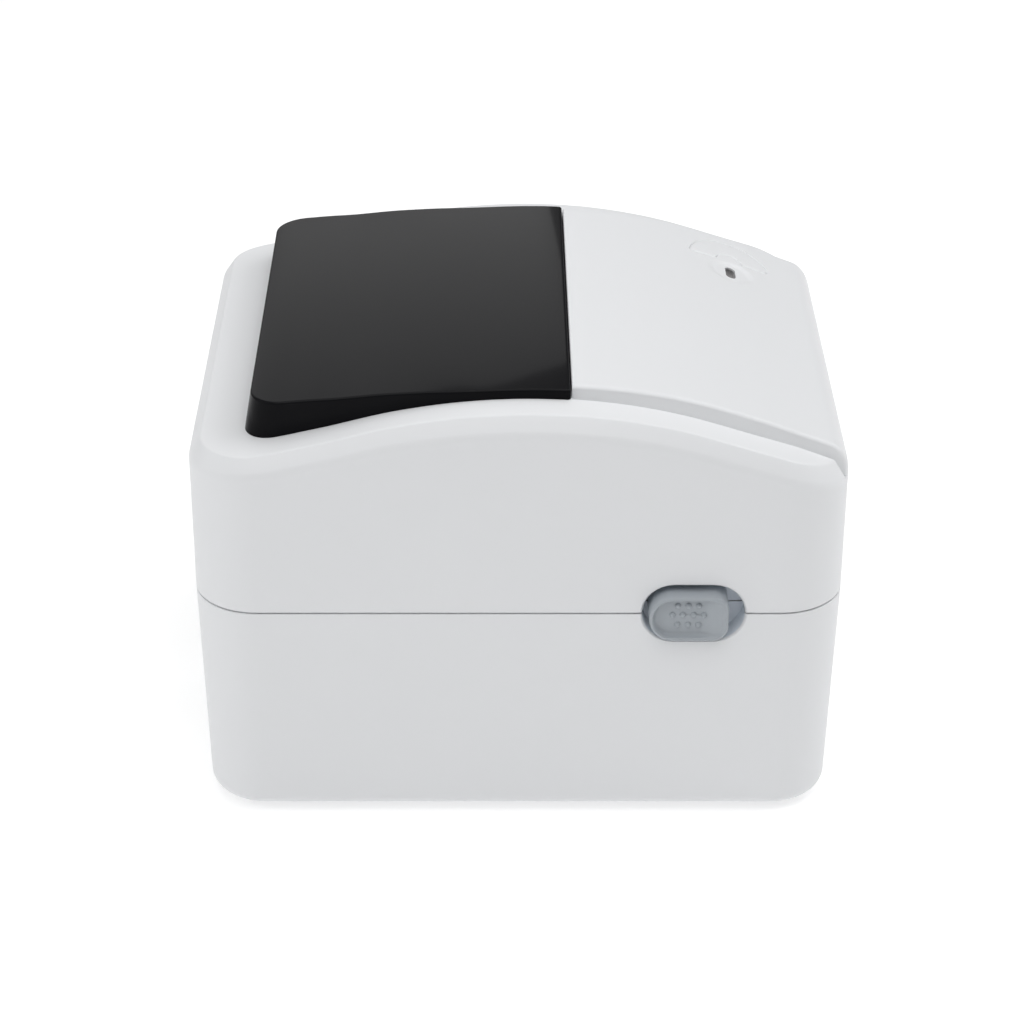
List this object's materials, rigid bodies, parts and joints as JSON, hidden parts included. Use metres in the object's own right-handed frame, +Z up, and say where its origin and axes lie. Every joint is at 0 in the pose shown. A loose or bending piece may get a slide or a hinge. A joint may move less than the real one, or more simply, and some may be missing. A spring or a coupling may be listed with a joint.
{
  "type": "thermal label printer",
  "caption": "Desktop thermal label printer: boxy base with roll bay and platen, domed hinged lid with smoked window, side latches and feed button.",
  "frame": {"origin": "centre of the footprint, on the surface that the feet stand on", "axes": "+X to the printer's right seen from its front, +Y to the back, +Z up; labels leave at the front, -Y"},
  "size_m": [0.186, 0.2152, 0.1562],
  "materials": {
    "housing": "fine satin moulded plastic, light grey",
    "window": "polished, smoked nearly black",
    "dark_plastic": "fine texture",
    "latch_plastic": "satin, blue grey",
    "rubber": "matt",
    "steel": "bright",
    "acetal": "smooth, natural",
    "aluminium": "satin",
    "ceramic": "glazed",
    "board": "solder mask",
    "lens": "clear tinted"
  },
  "bodies": {
    "base": {"base_shell": "housing", "foot_front_left": "rubber", "foot_front_right": "rubber", "foot_rear_left": "rubber", "foot_rear_right": "rubber", "media_tray": "dark_plastic", "tray_screw_1": "steel", "tray_screw_2": "steel", "tray_screw_3": "steel", "tray_screw_4": "steel", "stepper_motor": "steel", "platen_bush_left": "acetal", "platen_bush_right": "acetal", "idler_pin": "steel", "label_lip": "dark_plastic", "sensor_rail": "aluminium", "main_board": "board", "usb_port": "steel", "dc_jack": "dark_plastic", "switch_body": "dark_plastic", "hinge_pin_left": "steel", "hinge_pin_right": "steel", "pinion_screw": "steel"},
    "lid": {"lid_shell": "housing", "lid_window": "window", "lid_liner": "dark_plastic", "liner_screw_1": "steel", "liner_screw_2": "steel", "liner_screw_3": "steel", "liner_screw_4": "steel", "tear_bar": "steel", "head_pivot_pin": "steel", "status_lens": "lens", "feed_board": "board"},
    "head": {"head_bracket": "steel", "head_heatsink": "aluminium", "print_head": "ceramic", "head_spring_left": "steel", "head_spring_right": "steel"},
    "latch_left": {"latch_button_left": "latch_plastic", "latch_spring_left": "steel"},
    "latch_right": {"latch_button_right": "latch_plastic", "latch_spring_right": "steel"},
    "feed_button": {"feed_button": "housing", "feed_spring": "steel"},
    "platen": {"platen_roller": "rubber", "platen_shaft": "steel", "platen_gear": "acetal"},
    "idler": {"idler_gear": "acetal"},
    "motor_rotor": {"motor_pinion": "steel"},
    "guide_left": {"guide_left": "latch_plastic"},
    "guide_right": {"guide_right": "latch_plastic"},
    "hub_left": {"roll_hub_left": "latch_plastic"},
    "hub_right": {"roll_hub_right": "latch_plastic"},
    "guide_pinion": {"guide_pinion": "acetal"},
    "sensor": {"media_sensor": "dark_plastic"},
    "rocker": {"switch_rocker": "dark_plastic"}
  },
  "joints": [
    {"name": "lid_hinge", "type": "hinge", "parent": "base", "child": "lid", "pos_m": [0, 0.10515, 0.0726], "axis": [-1, 0, 0], "range_deg": [0, 80]},
    {"name": "head_float", "type": "hinge", "parent": "lid", "child": "head", "pos_m": [0, -0.06, 0.095], "axis": [-1, 0, 0], "range_deg": [0, 2], "stiffness_Nm_per_rad": 1.5, "springref_deg": -2.86, "deforming": ["head_spring_left", "head_spring_right"]},
    {"name": "latch_left_slide", "type": "slide", "parent": "lid", "child": "latch_left", "axis": [0, -1, 0], "range_m": [0, 0.004], "stiffness_N_per_m": 400, "springref_m": -0.002, "deforming": ["latch_spring_left"]},
    {"name": "latch_right_slide", "type": "slide", "parent": "lid", "child": "latch_right", "axis": [0, -1, 0], "range_m": [0, 0.004], "stiffness_N_per_m": 400, "springref_m": -0.002, "deforming": ["latch_spring_right"]},
    {"name": "feed_press", "type": "slide", "parent": "lid", "child": "feed_button", "axis": [0, 0.3269, -0.945], "range_m": [0, 0.001], "stiffness_N_per_m": 600, "springref_m": -0.001, "deforming": ["feed_spring"]},
    {"name": "platen_spin", "type": "hinge", "parent": "base", "child": "platen", "pos_m": [0, -0.088, 0.0735], "axis": [1, 0, 0], "continuous": true},
    {"name": "idler_spin", "type": "hinge", "parent": "base", "child": "idler", "pos_m": [0.068, -0.0754, 0.05168], "axis": [1, 0, 0], "continuous": true},
    {"name": "motor_spin", "type": "hinge", "parent": "base", "child": "motor_rotor", "pos_m": [0.068, -0.08351, 0.03427], "axis": [1, 0, 0], "continuous": true},
    {"name": "guide_left_slide", "type": "slide", "parent": "base", "child": "guide_left", "axis": [1, 0, 0], "range_m": [0, 0.024]},
    {"name": "guide_right_slide", "type": "slide", "parent": "base", "child": "guide_right", "axis": [-1, 0, 0], "range_m": [0, 0.024]},
    {"name": "guide_pinion_spin", "type": "hinge", "parent": "base", "child": "guide_pinion", "pos_m": [0, 0.012, 0.0118], "axis": [0, 0, 1], "range_deg": [0, 197]},
    {"name": "hub_left_spin", "type": "hinge", "parent": "guide_left", "child": "hub_left", "pos_m": [-0.052, 0.036, 0.07], "axis": [1, 0, 0], "continuous": true},
    {"name": "hub_right_spin", "type": "hinge", "parent": "guide_right", "child": "hub_right", "pos_m": [0.052, 0.036, 0.07], "axis": [1, 0, 0], "continuous": true},
    {"name": "sensor_slide", "type": "slide", "parent": "base", "child": "sensor", "axis": [1, 0, 0], "range_m": [-0.04, 0.04]},
    {"name": "rocker_tilt", "type": "hinge", "parent": "base", "child": "rocker", "pos_m": [0.062, 0.10005, 0.04], "axis": [1, 0, 0], "range_deg": [0, 14]}
  ],
  "couplings": [
    {"joint": "idler_spin", "follows": "platen_spin", "ratio": -0.75},
    {"joint": "motor_spin", "follows": "platen_spin", "ratio": 2.25},
    {"joint": "guide_right_slide", "follows": "guide_left_slide", "ratio": 1},
    {"joint": "guide_pinion_spin", "follows": "guide_left_slide", "rad_per_m": 142.86}
  ]
}
